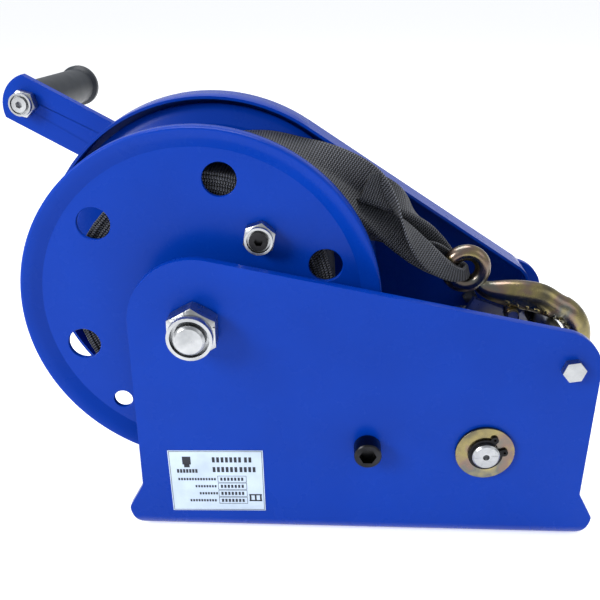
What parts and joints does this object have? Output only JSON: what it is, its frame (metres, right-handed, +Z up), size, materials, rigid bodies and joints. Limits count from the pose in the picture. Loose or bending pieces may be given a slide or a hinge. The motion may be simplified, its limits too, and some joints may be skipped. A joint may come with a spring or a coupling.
{
  "type": "boat trailer winch",
  "caption": "Hand winch with a webbing strap on a wide drum, two-stage gears, load brake, folded plate frame, long crank and an eye hook.",
  "frame": {"origin": "centre of the four base bolt holes, on the underside of the base", "axes": "+X along the winch towards the hook, +Y from the rating plate side to the crank side, +Z up"},
  "size_m": [0.4473, 0.3284, 0.2878],
  "materials": {
    "blue_paint": "gloss",
    "zinc_bright": "satin",
    "zinc_yellow": "satin",
    "steel_dark": "satin",
    "steel_plain": "satin",
    "webbing_black": "matte",
    "grip_black": "satin",
    "friction": "matte",
    "bronze": "satin",
    "label_white": "satin"
  },
  "bodies": {
    "frame": {"frame": "blue_paint", "gear_guard": "blue_paint", "guard_screws": "zinc_bright", "guard_nuts": "zinc_bright", "drum_axle": "zinc_bright", "axle_nut": "zinc_bright", "axle_washer": "zinc_bright", "axle_sleeve": "steel_plain", "lay_screw": "steel_dark", "lay_washer": "zinc_bright", "lay_nut": "zinc_bright", "lay_sleeve": "steel_plain", "shaft_bush_near": "bronze", "shaft_bush_far": "bronze", "tie_bolt": "zinc_bright", "tie_nut": "zinc_bright", "tie_spacer_near": "zinc_bright", "tie_spacer_far": "zinc_bright", "pawl_spring": "steel_dark", "strap_tail": "webbing_black", "label_plate": "label_white"},
    "drum": {"drum_hub": "steel_plain", "drum_bushes": "bronze", "near_flange": "blue_paint", "far_flange": "blue_paint", "drum_gear": "steel_plain", "gear_rivets": "steel_plain", "strap_roll": "webbing_black", "strap_anchor_bolt": "steel_dark", "strap_anchor_nut": "zinc_bright"},
    "lay_shaft": {"lay_tube": "steel_plain", "lay_gear": "steel_plain", "lay_pinion": "steel_plain"},
    "crank": {"crank_shaft": "zinc_bright", "crank_pinion": "steel_plain", "pressure_plate": "zinc_bright", "friction_disc_near": "friction", "friction_disc_far": "friction", "shaft_flange": "zinc_bright", "shaft_washer": "zinc_yellow", "circlip": "steel_dark", "shaft_spacer": "zinc_bright", "crank_arm": "blue_paint", "crank_hub": "blue_paint", "crank_washer": "zinc_bright", "crank_nut": "zinc_bright", "grip_spindle": "zinc_bright", "grip_nut": "zinc_bright"},
    "ratchet": {"ratchet_wheel": "zinc_bright"},
    "pawl": {"pawl": "zinc_bright"},
    "grip": {"grip": "grip_black"},
    "hook": {"hook": "zinc_yellow", "latch_rivet": "zinc_bright", "latch_spring": "steel_dark"},
    "latch": {"hook_latch": "zinc_yellow"}
  },
  "joints": [
    {"name": "drum_turn", "type": "hinge", "parent": "frame", "child": "drum", "pos_m": [-0.107, 0, 0.161], "axis": [0, 1, 0], "continuous": true},
    {"name": "lay_turn", "type": "hinge", "parent": "frame", "child": "lay_shaft", "pos_m": [0.00421, 0, 0.0727], "axis": [0, 1, 0], "continuous": true},
    {"name": "crank_turn", "type": "hinge", "parent": "frame", "child": "crank", "pos_m": [0.08219, 0, 0.071], "axis": [0, 1, 0], "continuous": true},
    {"name": "ratchet_turn", "type": "hinge", "parent": "frame", "child": "ratchet", "pos_m": [0.08219, 0, 0.071], "axis": [0, 1, 0], "continuous": true},
    {"name": "pawl_lift", "type": "hinge", "parent": "frame", "child": "pawl", "pos_m": [0.1315, 0.028, 0.1345], "axis": [0, 1, 0], "range_deg": [0, 12], "stiffness_Nm_per_rad": 0.05, "springref_deg": -28.65},
    {"name": "grip_spin", "type": "hinge", "parent": "crank", "child": "grip", "pos_m": [-0.26617, 0.1199, 0.26611], "axis": [0.062, 0.9976, -0.0319], "continuous": true},
    {"name": "hook_swing", "type": "hinge", "parent": "frame", "child": "hook", "pos_m": [0.07, -0.0035, 0.178], "axis": [0, 1, 0], "range_deg": [-6, 0]},
    {"name": "latch_open", "type": "hinge", "parent": "hook", "child": "latch", "pos_m": [0.104, -0.0035, 0.1462], "axis": [0, 1, 0], "range_deg": [-20, 0], "stiffness_Nm_per_rad": 0.01, "springref_deg": 20.05}
  ],
  "couplings": [
    {"joint": "lay_turn", "follows": "drum_turn", "ratio": -3.1765},
    {"joint": "crank_turn", "follows": "drum_turn", "ratio": 8.6218}
  ]
}
